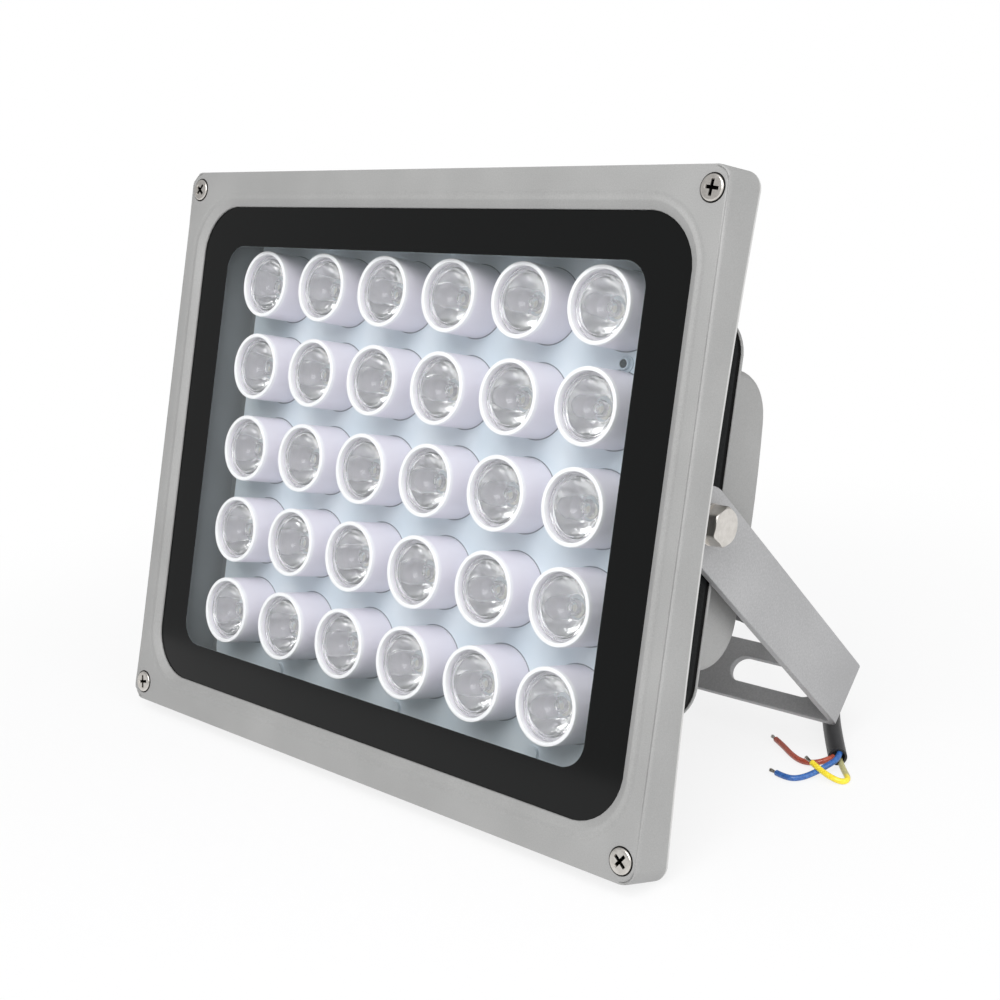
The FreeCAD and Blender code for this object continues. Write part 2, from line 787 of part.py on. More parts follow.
def tube(points, radius, name):
    """Round tube of straight runs joined by tangent arcs through a route."""
    corners = [V(*point) for point in points]
    runs = [corners[index + 1] - corners[index] for index in range(len(corners) - 1)]
    edges = []
    last = corners[0]
    length = 0.0
    radii = []
    for index in range(1, len(corners) - 1):
        turn = runs[index - 1].getAngle(runs[index])
        reach = 0.45 * min(runs[index - 1].Length, runs[index].Length)
        bend = reach / math.tan(turn / 2)
        radii.append(round(bend, 1))
        back = V(runs[index - 1]).normalize()
        ahead = V(runs[index]).normalize()
        start = corners[index] - back * reach
        end = corners[index] + ahead * reach
        inward = (ahead - back).normalize()
        middle = corners[index] + inward * (bend / math.cos(turn / 2) - bend)
        edges.append(Part.LineSegment(last, start).toShape())
        edges.append(Part.Arc(start, middle, end).toShape())
        length += (start - last).Length + bend * turn
        last = end
    edges.append(Part.LineSegment(last, corners[-1]).toShape())
    length += (corners[-1] - last).Length
    path = Part.Wire(edges)
    section = Part.Wire(Part.Circle(corners[0], runs[0], radius).toShape())
    solid = path.makePipeShell([section], True, False)
    ratio = solid.Volume / (math.pi * radius ** 2 * length)
    print(name, "length", round(length, 1), "radii", radii, "volume ratio", round(ratio, 4))
    return solid


def wire_ends():
    """Bare strands at the tip of each core."""
    ends = []
    for route in wire_routes.values():
        along = V(*route[-1]) - V(*route[-2])
        ends.append(Part.makeCylinder(strand_radius, strand_length, V(*route[-1]), along))
    return Part.makeCompound(ends)


def head_pieces():
    """Every piece of the lamp head, drawn upright."""
    pieces = {
        "bezel_frame": bezel_frame(),
        "bezel_screws": bezel_screws(),
        "glass_pane": glass_pane(),
        "glass_gasket": glass_gasket(),
        "led_housing": led_housing(),
        "led_board": led_board(),
        "board_screws": board_screws(),
        "led_emitters": led_emitters(),
        "lens_holders": lens_holders(),
        "light_sensor": light_sensor(),
        "driver_gasket": driver_gasket(),
        "driver_cover": driver_cover(),
        "cover_screws": cover_screws(),
        "led_driver": led_driver(),
        "driver_screws": driver_screws(),
        "gland_body": gland_body(),
        "gland_nut": gland_nut(),
        "gland_seal": gland_seal(),
        "cable_entry": cable_entry(),
        "pivot_bolt_left": pivot_bolt(-1),
        "pivot_bolt_right": pivot_bolt(1),
        "spring_washer_left": spring_washer(-1),
        "spring_washer_right": spring_washer(1),
    }
    for row, column, x, z in lens_places():
        pieces["lens_%d_%d" % (row, column)] = lens(x, z)
    return pieces


def stood_up():
    """Lean the head back, swing the bracket under it and stand both on the floor."""
    pieces = head_pieces()
    lean = FreeCAD.Rotation(V(1, 0, 0), -head_lean)
    for shape in pieces.values():
        shape.Placement = FreeCAD.Placement(V(0, 0, 0), lean).multiply(shape.Placement)
    arms = bracket()
    arms.Placement = FreeCAD.Placement(lean.multVec(swivel), FreeCAD.Rotation(V(1, 0, 0), -bracket_drop))
    pieces["bracket"] = arms
    solid_names = [name for name in pieces if name != "cable_entry"]
    bounds = Part.makeCompound([pieces[name] for name in solid_names]).optimalBoundingBox(False, False)
    floor = pieces["bezel_frame"].optimalBoundingBox(False, False).ZMin
    shift = V(-(bounds.XMin + bounds.XMax) / 2, -(bounds.YMin + bounds.YMax) / 2, -floor)
    for shape in pieces.values():
        shape.translate(shift)
    return pieces, shift


model, placed_shift = stood_up()
leaned = FreeCAD.Rotation(V(1, 0, 0), -head_lean)
start = leaned.multVec(gland_point(gland_end + cable_gap)) + placed_shift
lead = leaned.multVec(gland_point(gland_end + cable_gap + cable_lead)) + placed_shift
model["cable"] = tube((tuple(start), tuple(lead)) + cable_route, cable_radius, "cable")
for wire_name, route in wire_routes.items():
    model[wire_name] = tube(route, wire_radius, wire_name)
model["wire_ends"] = wire_ends()
centre = leaned.multVec(swivel) + placed_shift
print("swivel axis at", centre, "shift", placed_shift)

for name, shape in model.items():
    shape.exportStep("parts/%s.step" % name)
    print(name, len(shape.Solids), "solids, valid", shape.isValid(), "volume", round(shape.Volume, 1))
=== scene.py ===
import math

import bmesh
import bpy
from mathutils import Matrix, Vector


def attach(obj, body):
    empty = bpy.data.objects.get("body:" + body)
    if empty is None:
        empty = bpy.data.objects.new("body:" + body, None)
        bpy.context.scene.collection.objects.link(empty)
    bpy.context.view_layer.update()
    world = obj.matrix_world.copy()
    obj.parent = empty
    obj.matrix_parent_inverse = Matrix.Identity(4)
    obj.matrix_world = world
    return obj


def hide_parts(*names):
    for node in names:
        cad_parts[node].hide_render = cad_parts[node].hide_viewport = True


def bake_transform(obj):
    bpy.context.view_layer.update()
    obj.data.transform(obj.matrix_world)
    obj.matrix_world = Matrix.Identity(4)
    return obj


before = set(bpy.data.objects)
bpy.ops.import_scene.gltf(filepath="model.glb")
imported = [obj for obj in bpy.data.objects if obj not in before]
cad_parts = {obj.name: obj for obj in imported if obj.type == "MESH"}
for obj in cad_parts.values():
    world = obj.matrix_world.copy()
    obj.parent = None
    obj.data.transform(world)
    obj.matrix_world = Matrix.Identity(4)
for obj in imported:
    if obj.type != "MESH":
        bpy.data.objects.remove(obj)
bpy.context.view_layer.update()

# The lamp is seen from its front right, from a little above the floor,
# through a normal lens held with a slight roll.
camera_data = bpy.data.cameras.new("camera")
camera_data.sensor_width = 36
camera_data.lens = 54.87
camera = bpy.data.objects.new("camera", camera_data)
bpy.context.scene.collection.objects.link(camera)
camera.location = Vector((0.4136, -0.4066, 0.2496))
camera_aim = Vector((0.0166, 0.0, 0.0969))
camera_roll = Matrix.Rotation(math.radians(-3.74), 3, "Z")
camera_gaze = (camera_aim - camera.location).to_track_quat("-Z", "Y").to_matrix()
camera.rotation_euler = (camera_gaze @ camera_roll).to_euler()
bpy.context.scene.camera = camera
bpy.context.scene.view_settings.view_transform = "Standard"


class Shade:
    """A socket in a material's nodes. Arithmetic on it adds the Math nodes that it needs."""

    def __init__(self, tree, socket=None):
        self.tree = tree
        self.socket = socket

    def node(self, kind, settings=None, values=None, output=0):
        """Adds a node: its settings first, then the values or links of its sockets."""
        made = self.tree.nodes.new(kind)
        for name, setting in (settings or {}).items():
            if name == "stops":
                ramp = made.color_ramp
                while len(ramp.elements) < len(setting):
                    ramp.elements.new(0.5)
                for element, (position, color) in zip(ramp.elements, setting):
                    element.position = position
                    element.color = color
            else:
                setattr(made, name, setting)
        for name, value in (values or {}).items():
            if isinstance(value, Shade):
                self.tree.links.new(value.socket, made.inputs[name])
            else:
                made.inputs[name].default_value = value
        return Shade(self.tree, made.outputs[output])

    def math(self, operation, *operands):
        return self.node("ShaderNodeMath", {"operation": operation}, dict(enumerate(operands)))

    def __add__(self, other):
        return self.math("ADD", self, other)

    __radd__ = __add__

    def __sub__(self, other):
        return self.math("SUBTRACT", self, other)

    def __rsub__(self, other):
        return self.math("SUBTRACT", other, self)

    def __mul__(self, other):
        return self.math("MULTIPLY", self, other)

    __rmul__ = __mul__

    def __truediv__(self, other):
        return self.math("DIVIDE", self, other)

    def __rtruediv__(self, other):
        return self.math("DIVIDE", other, self)

    def part(self, axis):
        """The X, Y or Z of a place."""
        return self.node("ShaderNodeSeparateXYZ", None, {"Vector": self}, axis)

    def step(self, low, high):
        """Rises smoothly from 0 at low to 1 at high."""
        values = {"Value": self, "From Min": low, "From Max": high}
        return self.node("ShaderNodeMapRange", {"interpolation_type": "SMOOTHSTEP"}, values)

    def blend(self, one, other):
        """Colour one where this is 0, and the other where it is 1."""
        return self.node("ShaderNodeMix", {"data_type": "RGBA"}, {0: self, 6: one, 7: other}, 2)

    def noise(self, place, scale, detail=2.0, roughness=0.5):
        """Even noise at a scale of so many cells to the metre."""
        values = {"Vector": place, "Scale": scale, "Detail": detail, "Roughness": roughness}
        return self.node("ShaderNodeTexNoise", None, values)

    def bump(self, strength, distance):
        """Normal of this height, in metres of relief."""
        return self.node("ShaderNodeBump", None, {"Strength": strength, "Distance": distance, "Height": self})


def material(name, **constants):
    """A material and its nodes, with the constants set on the shader's own sockets."""
    made = bpy.data.materials.new(name)
    made.use_nodes = True
    shader = made.node_tree.nodes["Principled BSDF"]
    for socket, value in constants.items():
        shader.inputs[socket.replace("_", " ")].default_value = value
    return made, Shade(made.node_tree)


def feed(made, **varying):
    """Links what varies over the surface to the shader's sockets."""
    shader = made.node_tree.nodes["Principled BSDF"]
    for socket, value in varying.items():
        made.node_tree.links.new(value.socket, shader.inputs[socket.replace("_", " ")])


def wear(made, *nodes):
    """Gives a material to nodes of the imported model."""
    for name in nodes:
        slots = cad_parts[name].data.materials
        slots.clear()
        slots.append(made)


# The floor is a wide white sheet that fades into a white room. Two soft panels and the
# room light the lamp; the sheet keeps the shadow that the lamp throws on it.
def color(red, green, blue):
    """Linear colour of a display colour written from 0 to 255."""
    written = (red, green, blue)
    linear = [((part / 255 + 0.055) / 1.055) ** 2.4 if part > 10 else part / 3295 for part in written]
    return (*linear, 1.0)


floor_bm = bmesh.new()
bmesh.ops.create_circle(floor_bm, cap_ends=True, radius=6.0, segments=96)
floor_mesh = bpy.data.meshes.new("floor")
floor_bm.to_mesh(floor_mesh)
floor_bm.free()
floor = bpy.data.objects.new("floor_sheet", floor_mesh)
bpy.context.scene.collection.objects.link(floor)
floor_paint, shade = material("floor white", Roughness=0.6, Base_Color=(0.9, 0.9, 0.91, 1))
floor_mesh.materials.append(floor_paint)
place = shade.node("ShaderNodeTexCoord", output="Object")
distance = shade.node("ShaderNodeVectorMath", {"operation": "LENGTH"}, {0: place}, "Value")
seen = shade.node("ShaderNodeLightPath", output="Is Camera Ray")
mirrored = shade.node("ShaderNodeLightPath", output="Is Glossy Ray")
passed = shade.node("ShaderNodeLightPath", output="Is Transmission Ray")
looked_at = shade.math("MAXIMUM", seen, shade.math("MAXIMUM", mirrored, passed))
away = (distance.step(0.15, 0.45) * 0.18 + 0.82) * looked_at
white = shade.node("ShaderNodeEmission", None, {"Color": (1, 1, 1, 1), "Strength": 1.0})
sheet = Shade(shade.tree, floor_paint.node_tree.nodes["Principled BSDF"].outputs[0])
faded = shade.node("ShaderNodeMixShader", None, {0: away, 1: sheet, 2: white})
shade.tree.links.new(faded.socket, floor_paint.node_tree.nodes["Material Output"].inputs["Surface"])

room = bpy.data.worlds.new("room")
bpy.context.scene.world = room
room.use_nodes = True
shade = Shade(room.node_tree)
seen = shade.node("ShaderNodeLightPath", output="Is Camera Ray")
passed = shade.node("ShaderNodeLightPath", output="Is Transmission Ray")
level = shade.math("MAXIMUM", seen, passed)
room.node_tree.links.new((0.5 + level * 0.5).socket, room.node_tree.nodes["Background"].inputs["Strength"])
room.node_tree.nodes["Background"].inputs["Color"].default_value = (1, 1, 1, 1)


def panel(name, place, aim, size, power):
    """A soft square lamp panel that faces a point."""
    light = bpy.data.lights.new(name, "AREA")
    light.size = size
    light.energy = power
    lamp = bpy.data.objects.new(name, light)
    lamp.location = place
    lamp.rotation_euler = (Vector(aim) - Vector(place)).to_track_quat("-Z", "Y").to_euler()
    bpy.context.scene.collection.objects.link(lamp)


panel("panel above", (0.4, -0.7, 0.95), (0, 0, 0.1), 0.8, 10)
panel("panel right", (1.3, -0.1, 0.8), (0, 0, 0.1), 0.9, 5)


# The supply cable is a limp round cable with a matt black sheath. It leaves the gland, loops
# on the floor behind the bracket and comes out under the bracket's corner, which rests on it.
def route(name, points):
    """A smooth line through the room that keeps near its control points."""
    curve = bpy.data.curves.new(name, "CURVE")
    curve.dimensions = "3D"
    curve.resolution_u = 12
    spline = curve.splines.new("NURBS")
    spline.points.add(len(points) - 1)
    for point, place in zip(spline.points, points):
        point.co = (*place, 1)
    spline.order_u = 3
    spline.use_endpoint_u = True
    return curve


def line_points(curve):
    """The points of the smooth line itself, read from the curve with no thickness."""
    bare = bpy.data.objects.new(curve.name, curve)
    bpy.context.scene.collection.objects.link(bare)
    bpy.context.view_layer.update()
    mesh = bpy.data.meshes.new_from_object(bare.evaluated_get(bpy.context.evaluated_depsgraph_get()))
    points = [vertex.co.copy() for vertex in mesh.vertices]
    bpy.data.objects.remove(bare)
    bpy.data.meshes.remove(mesh)
    return points


def tube(points, radius, sides):
    """A round tube along a line of points, closed at both ends."""
    bm = bmesh.new()
    rings = []
    side = Vector((0, 0, 1))
    for index, point in enumerate(points):
        before = points[max(index - 1, 0)]
        after = points[min(index + 1, len(points) - 1)]
        along = (after - before).normalized()
        side = (side - along * side.dot(along)).normalized()
        turn = Matrix((side, along.cross(side), along)).transposed().to_4x4()
        stand = Matrix.Translation(point) @ turn
        verts = bmesh.ops.create_circle(bm, radius=radius, segments=sides, matrix=stand)["verts"]
        rings.append(list({edge for vertex in verts for edge in vertex.link_edges}))
    for one, other in zip(rings, rings[1:]):
        bmesh.ops.bridge_loops(bm, edges=one + other)
    bmesh.ops.contextual_create(bm, geom=rings[0])
    bmesh.ops.contextual_create(bm, geom=rings[-1])
    bmesh.ops.recalc_face_normals(bm, faces=bm.faces)
    return bm


def piece(name, bm, body, finish, place=None, sharp=35):
    """Makes a mesh a piece of the lamp: its body, its material and its smoothness."""
    if place:
        bm.transform(place)
    mesh = bpy.data.meshes.new(name)
    bm.to_mesh(mesh)
    bm.free()
    mesh.shade_smooth()
    mesh.set_sharp_from_angle(angle=math.radians(sharp))
    mesh.materials.append(finish)
    made = bpy.data.objects.new(name, mesh)
    bpy.context.scene.collection.objects.link(made)
    flat = made.modifiers.new("flat faces stay flat", "WEIGHTED_NORMAL")
    flat.keep_sharp = True
    if body:
        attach(made, body)
    return made


cable_radius = 0.0035
cable_points = line_points(route("cable route", (
    (0.0960, 0.03495, 0.06135),
    (0.0960, 0.0485, 0.0496),
    (0.0950, 0.0665, 0.0448),
    (0.0855, 0.0850, 0.0435),
    (0.0675, 0.1015, 0.0365),
    (0.0500, 0.1125, 0.0265),
    (0.0350, 0.1250, 0.0180),
    (0.0285, 0.1430, 0.0095),
    (0.0345, 0.1590, 0.0040),
    (0.0520, 0.1625, 0.0036),
    (0.0680, 0.1530, 0.0036),
    (0.0780, 0.1340, 0.0036),
    (0.0930, 0.1090, 0.0036),
    (0.1095, 0.0860, 0.0040),
    (0.1226, 0.0654, 0.0049),
    (0.1364, 0.0470, 0.0036),
)))
sheath, shade = material("cable sheath", Roughness=0.42, Specular_IOR_Level=0.45)
place = shade.node("ShaderNodeTexCoord", output="Object")
grain = shade.noise(place, 1800, 3)
cloudy = shade.noise(place, 60, 2)
black = cloudy.step(0.3, 0.7).blend(color(34, 34, 36), color(48, 48, 50))
feed(sheath, Base_Color=black, Roughness=0.36 + grain * 0.14, Normal=grain.bump(0.25, 0.0002))
cable_mesh = tube(cable_points, cable_radius, 24)
mouth = min(cable_mesh.faces, key=lambda face: (face.calc_center_median() - cable_points[-1]).length)
bmesh.ops.inset_region(cable_mesh, faces=[mouth], thickness=0.0008)
deeper = bmesh.ops.extrude_discrete_faces(cable_mesh, faces=[mouth])["faces"]
inward = (cable_points[-2] - cable_points[-1]).normalized() * 0.003
bmesh.ops.translate(cable_mesh, verts=deeper[0].verts, vec=inward)
cable = piece("supply_cable", cable_mesh, None, sheath)
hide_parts("cable")
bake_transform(cable)


# The cable's three cores leave its cut end and curl on the floor. Each is stripped at its tip,
# where seven tinned strands show. The earth core is yellow, and green where it leaves the sheath.
core_tips = []


def core(name, points, base, radius=0.0011):
    """A thin insulated wire with its two ends free."""
    line = line_points(route(name, points))
    core_tips.append((line[-1], (line[-1] - line[-3]).normalized()))
    finish, shade = material(name + " insulation", Roughness=0.3, Coat_Weight=0.3, Coat_Roughness=0.2)
    place = shade.node("ShaderNodeTexCoord", output="Object")
    grain = shade.noise(place, 900, 2)
    tint = base(shade, place, grain)
    feed(finish, Base_Color=tint, Roughness=0.28 + grain * 0.16, Normal=grain.bump(0.2, 0.0001))
    made = piece("core_" + name, tube(line, radius, 16), "bracket", finish)
    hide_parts("wire_" + name)


def plain(dull, bright):
    """A colour that varies a little along a core."""
    return lambda shade, place, grain: grain.step(0.3, 0.7).blend(color(*dull), color(*bright))


def striped(shade, place, grain):
    """Yellow, and green where the earth core comes out of the sheath."""
    yellow = grain.step(0.3, 0.7).blend(color(250, 222, 44), color(254, 234, 70))
    return place.part("Y").step(0.0375, 0.0395).blend(yellow, color(196, 190, 132))


core("blue", (
    (0.1366, 0.0480, 0.0049), (0.1384, 0.0440, 0.0045), (0.1372, 0.0384, 0.0036), (0.1352, 0.0338, 0.0022),
    (0.1324, 0.0284, 0.0012), (0.1284, 0.0254, 0.0012), (0.1228, 0.0270, 0.0012)),
    plain((44, 92, 164), (62, 116, 190)))
core("brown", (
    (0.1350, 0.0466, 0.0035), (0.1336, 0.0426, 0.0028), (0.1294, 0.0402, 0.0018), (0.1242, 0.0406, 0.0012),
    (0.1180, 0.0438, 0.0012), (0.1120, 0.0482, 0.0012), (0.1064, 0.0516, 0.0012)),
    plain((170, 72, 52), (194, 92, 68)))
core("yellow", (
    (0.1366, 0.0479, 0.0022), (0.1416, 0.0423, 0.0017), (0.1470, 0.0374, 0.0012), (0.1460, 0.0334, 0.0013),
    (0.1388, 0.0334, 0.0030), (0.1326, 0.0354, 0.0048)),
    striped)
strands, shade = material("tinned strands", Metallic=1.0, Roughness=0.35)
place = shade.node("ShaderNodeTexCoord", output="Object")
twist = shade.node("ShaderNodeTexWave", {"bands_direction": "DIAGONAL"}, {"Vector": place, "Scale": 900.0})
tinned = twist.step(0.2, 0.8).blend(color(120, 114, 106), color(222, 218, 210))
feed(strands, Base_Color=tinned, Normal=twist.bump(0.6, 0.0001))
bm = bmesh.new()
for tip, along in core_tips:
    side = along.orthogonal().normalized()
    for strand in range(7):
        from_middle = 0.00036 if strand else 0.0
        spots = []
        for step in range(-2, 6):
            turn = Matrix.Rotation(math.radians(60 * strand + 14 * step), 3, along)
            spread = from_middle * (1 + 0.05 * max(0, step) * (strand % 3))
            spots.append(tip + along * 0.0007 * step + turn @ side * spread)
        wire = tube(spots, 0.00018, 6)
        mesh = bpy.data.meshes.new("strand")
        wire.to_mesh(mesh)
        wire.free()
        bm.from_mesh(mesh)
        bpy.data.meshes.remove(mesh)
ends = piece("bare_strands", bm, "bracket", strands)
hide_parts("wire_ends")


# The bezel is a die-cast frame in grey powder coat with a fine texture. It is hollow behind,
# slopes in to the glass, and its sides bow forward. Four countersunk screws hold it.
# The lamp head is drawn upright in millimetres: x across, y back from the middle of the
# front face, z up. It is leaned back about its swivel bolts and stood in place.
swivel = Vector((0.0, -0.020439, 0.109506))
bolt_line = Matrix.Translation((0.0, 25.5, 2.0))


def hung(degrees):
    """Place of a part in millimetres that hangs on the swivel, leaned back so far."""
    return Matrix.Translation(swivel) @ Matrix.Rotation(math.radians(-degrees), 4, "X") @ Matrix.Scale(0.001, 4)


head_place = hung(16) @ bolt_line.inverted()


def in_head(shade):
    """Where a point is in the upright head, in millimetres."""
    place = shade.node("ShaderNodeTexCoord", output="Object")
    location, turn, scale = head_place.inverted().decompose()
    values = {"Vector": place, "Location": location, "Rotation": turn.to_euler(), "Scale": scale}
    return shade.node("ShaderNodeMapping", None, values)


def outside(shade, place, half_width, half_height, corner):
    """How far a point of the head is outside a rounded rectangle across it."""
    def vector(operation, *operands, output=0):
        return shade.node("ShaderNodeVectorMath", {"operation": operation}, dict(enumerate(operands)), output)
    core_size = (half_width - corner, 0, half_height - corner)
    beyond = vector("MAXIMUM", vector("SUBTRACT", vector("ABSOLUTE", place), core_size), (0, 0, 0))
    return vector("LENGTH", vector("MULTIPLY", beyond, (1, 0, 1)), output="Value") - corner


def linked(verts):
    """The edges that join some vertices."""
    return list({edge for vertex in verts for edge in vertex.link_edges})


def loft(bm, sections, middle=(0.0, 0.0), quarter=10):
    """Draws a skin through sections across the head and gives the edges of each. A section is
    a rounded rectangle (half width, half height, corner, depth) or a circle (radius, depth)."""
    start = math.pi / (4 * quarter)
    turn = Matrix.Rotation(math.pi / 2, 4, "X") @ Matrix.Rotation(start, 4, "Z")
    across = 1 / math.cos(start)
    verts = bmesh.ops.create_circle(bm, radius=across, segments=4 * quarter, matrix=turn)["verts"]
    before = (1.0, 1.0, 1.0)
    rings = []
    offset = (0.0, 0.0)
    for section in sections:
        *sizes, depth = section if len(section) == 4 else (section[0], section[0], section[0], section[1])
        if rings:
            drawn = bmesh.ops.extrude_edge_only(bm, edges=rings[-1])["geom"]
            verts = [item for item in drawn if isinstance(item, bmesh.types.BMVert)]
        for vertex in verts:
            for part, axis in enumerate((0, 2)):
                reach = vertex.co[axis] - offset[part]
                side = math.copysign(1, reach)
                unit = (reach - side * (before[part] - before[2])) / before[2]
                vertex.co[axis] = middle[part] + side * (sizes[part] - sizes[2]) + unit * sizes[2]
            vertex.co.y = depth
        before = sizes
        offset = middle
        known = set(verts)
        rings.append([edge for edge in linked(verts) if known.issuperset(edge.verts)])
    return rings


def corners(edges):
    """The vertices of some edges."""
    return list({vertex for edge in edges for vertex in edge.verts})


def fill(bm, *rings):
    """Fills a flat outline, leaving the holes that the other rings outline."""
    bmesh.ops.triangle_fill(bm, use_beauty=True, edges=[edge for edges in rings for edge in edges])


def solid(bm, sections, middle=(0.0, 0.0), quarter=10):
    """A loft closed by a face at each end."""
    rings = loft(bm, sections, middle, quarter)
    bmesh.ops.contextual_create(bm, geom=rings[0])
    bmesh.ops.contextual_create(bm, geom=rings[-1])
    return rings


def band(bm, sections, middle=(0.0, 0.0), quarter=10):
    """A loft whose last section comes back to its first."""
    loft(bm, [*sections, sections[0]], middle, quarter)
    bmesh.ops.remove_doubles(bm, verts=bm.verts, dist=1e-4)


def facing_out(bm):
    """Turns every face of a closed mesh outwards."""
    bmesh.ops.recalc_face_normals(bm, faces=bm.faces)
    return bm


bezel_half_height = 113.4
side_bow = 4.5
screw_places = [(x, z) for x in (-132.3, 132.3) for z in (-106.0, 106.0)]
bm = bmesh.new()
window = loft(bm, (
    (133.6, 105.6, 25.8, 0.0), (132.9, 104.9, 25.1, 0.14), (132.2, 104.2, 24.4, 0.3), (131.4, 103.4, 23.6, 0.2),
    (130.6, 102.6, 22.8, 0.03), (130.1, 102.1, 22.3, 0.1), (127.6, 99.6, 20.2, 1.6), (127.4, 99.4, 20.0, 1.9),
    (127.4, 99.4, 20.0, 2.4), (130.8, 102.8, 23.0, 2.4), (130.8, 102.8, 23.0, 5.5), (135.4, 110.4, 4.0, 5.5)))
skirt = loft(bm, (
    (137.4, 112.4, 5.1, 0.0), (137.7, 112.7, 5.35, 0.5), (138.0, 113.0, 5.6, 0.1), (138.35, 113.35, 6.0, 0.4),
    (138.58, 113.58, 6.2, 1.0), (138.66, 113.66, 6.3, 1.9), (139.4, 114.4, 7.0, 15.9), (139.2, 114.2, 6.8, 16.5),
    (136.0, 111.0, 4.6, 16.5), (135.4, 110.4, 4.0, 15.9), (135.4, 110.4, 4.0, 5.5)))
sink_profile = ((4.75, 0.0), (4.65, 0.25), (4.5, 0.9), (2.4, 2.5), (0.2, 2.6))
sinks = [loft(bm, sink_profile, middle) for middle in screw_places]
fill(bm, window[0], skirt[0], *[sink[0] for sink in sinks])
for sink in sinks:
    bmesh.ops.contextual_create(bm, geom=sink[-1])
bmesh.ops.remove_doubles(bm, verts=bm.verts, dist=1e-4)
for step in range(-8, 9):
    bmesh.ops.bisect_plane(bm, geom=bm.verts[:] + bm.edges[:] + bm.faces[:], dist=1e-5,
                           plane_co=(0, 0, 12.4 * step), plane_no=(0, 0, 1))
for vertex in bm.verts:
    if abs(vertex.co.x) > 134 and vertex.co.y > 14:
        vertex.co.y -= side_bow * max(0.0, 1 - (vertex.co.z / bezel_half_height) ** 2)
    if abs(vertex.co.x) > 137.6 or abs(vertex.co.z) > 112.6:
        if 0.05 < vertex.co.y < 0.6:
            vertex.co.y *= 1 if abs(vertex.co.z) < 90 else 0.45 if abs(vertex.co.z) < 102 else 0.0
coat, shade = material("grey powder coat", Metallic=0.15)
place = in_head(shade)
grain = shade.noise(place, 2.4, 3, 0.6)
flecks = shade.noise(place, 4.5, 2, 0.5)
clouds = shade.noise(place, 0.03, 2)
tone = (grain * 0.45 + flecks * 0.25 + clouds * 0.3).step(0.3, 0.72)
near_screws = []
for x, z in screw_places:
    centred = shade.node("ShaderNodeVectorMath", {"operation": "SUBTRACT"}, {0: place, 1: (x, 0, z)})
    near_screws.append(outside(shade, centred, 4.7, 4.7, 4.7))
ring = shade.math("MINIMUM", shade.math("MINIMUM", *near_screws[:2]), shade.math("MINIMUM", *near_screws[2:]))
shadow = 1 - ring.step(-0.12, 0.25)
back = place.part("Y")
height = place.part("Z") / bezel_half_height
# Painted highlight: the rear edge of the bezel's sides is painted lighter, as if it caught the light.
rear_edge_highlight = (back + side_bow - height * height * side_bow).step(15.2, 15.8) * (1 - back.step(20.0, 21.0))
painted = tone.blend(color(153, 153, 152), color(175, 175, 174))
edge_highlighted = (rear_edge_highlight * 0.6).blend(painted, color(232, 232, 230))
feed(coat, Base_Color=shadow.blend(edge_highlighted, color(52, 50, 48)), Roughness=0.4 + grain * 0.22)
feed(coat, Normal=(grain + flecks * 0.5).bump(0.35, 0.0001))
bezel = piece("bezel_casting", facing_out(bm), "head", coat, head_place)
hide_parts("bezel_frame")


# Each corner screw is zinc-plated steel with a cross recess. Its countersunk head stands a
# little proud of the bezel, and the four crosses are left at their own angles.
cross_reach = 2.7
cross_half_width = 0.6
head_face = -0.7
bm = bmesh.new()
for (x, z), turn in zip(screw_places, (-12, 40, 38, 7)):
    rings = loft(bm, ((3.7, head_face), (4.0, -0.62), (4.25, -0.4), (4.35, -0.1), (4.35, 0.2), (2.0, 2.35),
                      (2.0, 9.0)))
    bmesh.ops.contextual_create(bm, geom=rings[-1])
    cross = bmesh.ops.create_grid(bm, x_segments=3, y_segments=3, size=cross_reach,
                                  matrix=Matrix.Rotation(math.pi / 2, 4, "X"))
    for vertex in cross["verts"]:
        for axis in (0, 2):
            if abs(vertex.co[axis]) < 2:
                vertex.co[axis] = math.copysign(cross_half_width, vertex.co[axis])
    faces = list({face for vertex in cross["verts"] for face in vertex.link_faces})
    bmesh.ops.translate(bm, verts=cross["verts"], vec=(0, head_face, 0))
    blanks = []
    for face in faces:
        middle = face.calc_center_median()
        if min(abs(middle.x), abs(middle.z)) > 0.7:
            blanks.append(face)
    bmesh.ops.delete(bm, geom=blanks, context="FACES")
    faces = [face for face in faces if face.is_valid]
    lone = [vertex for vertex in cross["verts"] if vertex.is_valid and not vertex.link_faces]
    bmesh.ops.delete(bm, geom=lone, context="VERTS")
    kept = [vertex for vertex in cross["verts"] if vertex.is_valid]
    outline = [edge for edge in linked(kept) if len(edge.link_faces) == 1]
    fill(bm, rings[0], outline)
    sunk = bmesh.ops.extrude_face_region(bm, geom=faces)["geom"]
    sunk = [item for item in sunk if isinstance(item, bmesh.types.BMVert)]
    bmesh.ops.delete(bm, geom=[face for face in faces if face.is_valid], context="FACES_ONLY")
    bmesh.ops.scale(bm, verts=sunk, vec=(0.62, 1, 0.62))
    bmesh.ops.translate(bm, verts=sunk, vec=(0, 1.8, 0))
    made = [vertex for vertex in bm.verts if not vertex.tag]
    stand = Matrix.Translation((x, 0, z)) @ Matrix.Rotation(math.radians(turn), 4, "Y")
    bmesh.ops.transform(bm, matrix=stand, verts=made)
    for vertex in made:
        vertex.tag = True
plated, shade = material("zinc plate", Metallic=1.0)
place = in_head(shade)
grain = shade.noise(place, 2.2, 3)
stain = shade.noise(place, 0.5, 2)
# Painted shade: behind the head's face, in the cross recess and round the sunk rim, the zinc is painted near
# black; parts further back, such as the swivel bolts, keep their bright plating.
sunk_shade = place.part("Y").step(-0.55, 0.1)
near = 1 - place.part("Y").step(5.0, 6.0)
bright = (stain * 0.6 + grain * 0.4).step(0.3, 0.7).blend(color(206, 202, 196), color(222, 218, 213))
feed(plated, Base_Color=(sunk_shade * near).blend(bright, color(16, 14, 12)))
feed(plated, Roughness=0.24 + grain * 0.2, Normal=grain.bump(0.25, 0.0001))
screws = piece("corner_screws", facing_out(bm), "head", plated, head_place)
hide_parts("bezel_screws")


